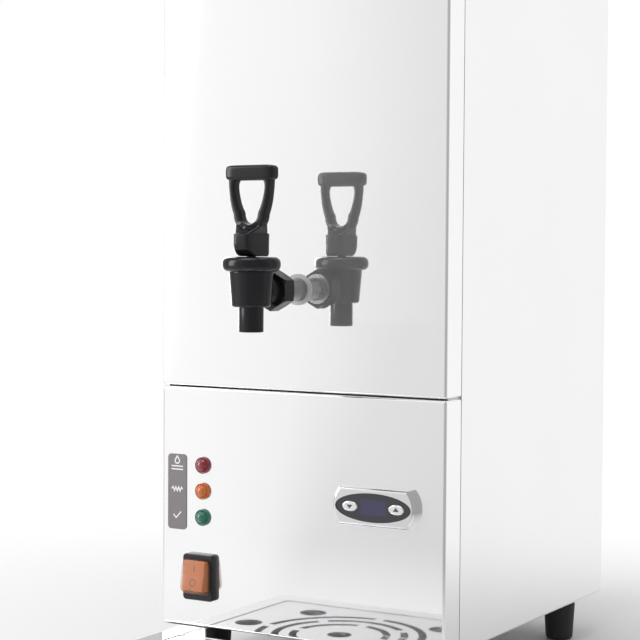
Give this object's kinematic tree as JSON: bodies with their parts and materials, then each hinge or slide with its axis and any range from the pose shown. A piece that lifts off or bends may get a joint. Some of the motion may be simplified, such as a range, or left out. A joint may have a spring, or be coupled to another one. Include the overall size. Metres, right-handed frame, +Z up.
{
  "type": "hot water urn",
  "caption": "Counter-top hot water urn: steel casing on rubber feet, insulated tank, lever tap, lamps, switch, display and a drip tray in front.",
  "frame": {"origin": "on the counter, under the middle of the whole object's box", "axes": "+Z up, +X to the right of someone facing the urn, front faces -Y"},
  "size_m": [0.245, 0.493, 0.62],
  "materials": {
    "polished_steel": "mirror polished stainless",
    "satin_steel": "fine brushed stainless",
    "plated_steel": "zinc plated",
    "tank_steel": "pickled stainless",
    "screw_steel": "bright stainless",
    "foot_rubber": "matt black",
    "tap_plastic": "satin black moulding",
    "handle_plastic": "satin black moulding",
    "silicone": "translucent white silicone",
    "insulation_foam": "pressed fibre",
    "element_alloy": "heat-stained alloy",
    "brass": "turned",
    "white_plastic": "moulded",
    "black_plastic": "moulded",
    "board_green": "solder mask",
    "core_steel": "laminated",
    "lamp_lens": "coloured lens",
    "label_grey": "printed plate",
    "rocker_orange": "lit rocker",
    "boot_clear": "clear soft boot",
    "chrome_plastic": "chromed moulding",
    "display_glass": "smoked lens"
  },
  "bodies": {
    "casing": {"base_chassis": "plated_steel", "side_panel_right": "satin_steel", "side_panel_left": "satin_steel", "rear_panel": "satin_steel", "top_cover": "satin_steel", "upper_front_panel": "polished_steel", "lower_front_panel": "polished_steel", "front_posts": "plated_steel", "tank_shelf": "plated_steel", "rubber_feet": "foot_rubber", "foot_screws": "screw_steel", "panel_screws": "screw_steel", "tank_shell": "tank_steel", "tank_lid": "tank_steel", "lid_gasket": "silicone", "lid_screws": "screw_steel", "tank_insulation": "insulation_foam", "heating_element": "element_alloy", "element_bushes": "brass", "temperature_probe": "screw_steel", "overheat_cutout": "black_plastic", "level_probes": "screw_steel", "probe_insulators": "white_plastic", "fill_hose": "silicone", "overflow_hose": "silicone", "inlet_valve": "white_plastic", "valve_coil": "black_plastic", "overflow_fitting": "white_plastic", "cable_gland": "black_plastic", "lock_nuts": "black_plastic", "control_board": "board_green", "board_standoffs": "white_plastic", "transformer": "core_steel", "terminal_block": "white_plastic", "tap_body": "tap_plastic", "tap_union_nut": "tap_plastic", "tap_shank": "screw_steel", "tap_washer": "silicone", "tap_shank_nut": "tap_plastic", "tap_coupling": "silicone", "tap_bonnet": "tap_plastic", "tap_spring": "screw_steel", "lamp_lenses": "lamp_lens", "lamp_holders": "black_plastic", "label_plate": "label_grey", "switch_body": "black_plastic", "switch_boot": "boot_clear", "display_bezel": "chrome_plastic", "display_lens": "display_glass", "display_housing": "black_plastic"},
    "tap_valve": {"tap_stem": "black_plastic", "seat_cup": "silicone", "handle_pin": "screw_steel"},
    "tap_lever": {"tap_handle": "handle_plastic"},
    "rocker": {"switch_rocker": "rocker_orange"},
    "button_down": {"display_button_down": "chrome_plastic"},
    "button_up": {"display_button_up": "chrome_plastic"},
    "plunger": {"valve_plunger": "core_steel"},
    "drip_tray": {"drip_tray_pan": "polished_steel"},
    "grille": {"drip_grille": "satin_steel"}
  },
  "joints": [
    {"name": "stem_lift", "type": "slide", "parent": "casing", "child": "tap_valve", "axis": [0, 0, 1], "range_m": [0, 0.0036], "stiffness_N_per_m": 800, "springref_m": -0.003, "deforming": ["tap_spring"]},
    {"name": "handle_tilt", "type": "hinge", "parent": "tap_valve", "child": "tap_lever", "pos_m": [0, -0.137, 0.3283], "axis": [1, 0, 0], "range_deg": [0, 35]},
    {"name": "rocker_tilt", "type": "hinge", "parent": "casing", "child": "rocker", "pos_m": [-0.086, -0.0715, 0.07325], "axis": [1, 0, 0], "range_deg": [0, 20], "deforming": ["switch_boot"]},
    {"name": "button_down_press", "type": "slide", "parent": "casing", "child": "button_down", "axis": [0, 1, 0], "range_m": [0, 0.0008], "stiffness_N_per_m": 800, "springref_m": -0.0005},
    {"name": "button_up_press", "type": "slide", "parent": "casing", "child": "button_up", "axis": [0, 1, 0], "range_m": [0, 0.0008], "stiffness_N_per_m": 800, "springref_m": -0.0005},
    {"name": "plunger_stroke", "type": "slide", "parent": "casing", "child": "plunger", "axis": [1, 0, 0], "range_m": [0, 0.0025], "stiffness_N_per_m": 300, "springref_m": -0.001},
    {"name": "tray_slide", "type": "slide", "parent": "casing", "child": "drip_tray", "axis": [0, -1, 0], "range_m": [0, 0.15]},
    {"name": "grille_lift", "type": "slide", "parent": "drip_tray", "child": "grille", "axis": [0, 0, 1], "range_m": [0, 0.025]}
  ],
  "couplings": [
    {"joint": "handle_tilt", "follows": "stem_lift", "rad_per_m": 169.68}
  ]
}
